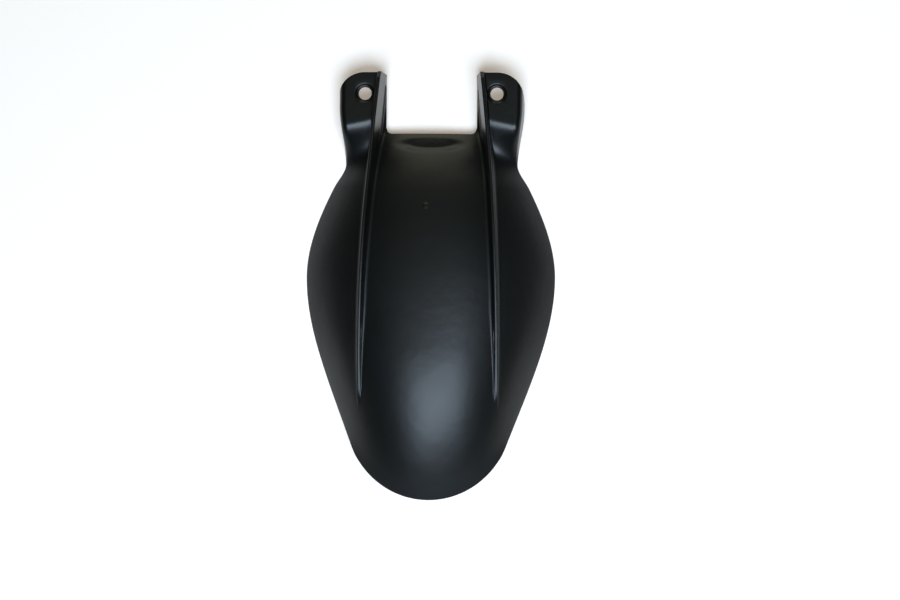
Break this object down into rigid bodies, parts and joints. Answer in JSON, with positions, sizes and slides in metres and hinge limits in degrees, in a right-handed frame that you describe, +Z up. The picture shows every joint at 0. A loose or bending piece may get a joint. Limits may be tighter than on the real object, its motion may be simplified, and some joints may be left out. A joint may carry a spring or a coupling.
{
  "type": "swingarm guard",
  "caption": "Domed guard for a motorbike's swingarm, with spread wings, a rounded tip, ribs and bolt ears beside a square notch.",
  "frame": {"origin": "centre of the guard's bounding box, on the surface that it lies on", "axes": "+Z up, away from the surface, towards the crown of the dome; +Y along the guard, from the rounded tip to the ears; +X across, to the right when seen from above with the ears away"},
  "size_m": [0.1678, 0.283, 0.039],
  "materials": {
    "guard_plastic": "satin"
  },
  "bodies": {
    "root": {"guard": "guard_plastic"}
  },
  "joints": []
}
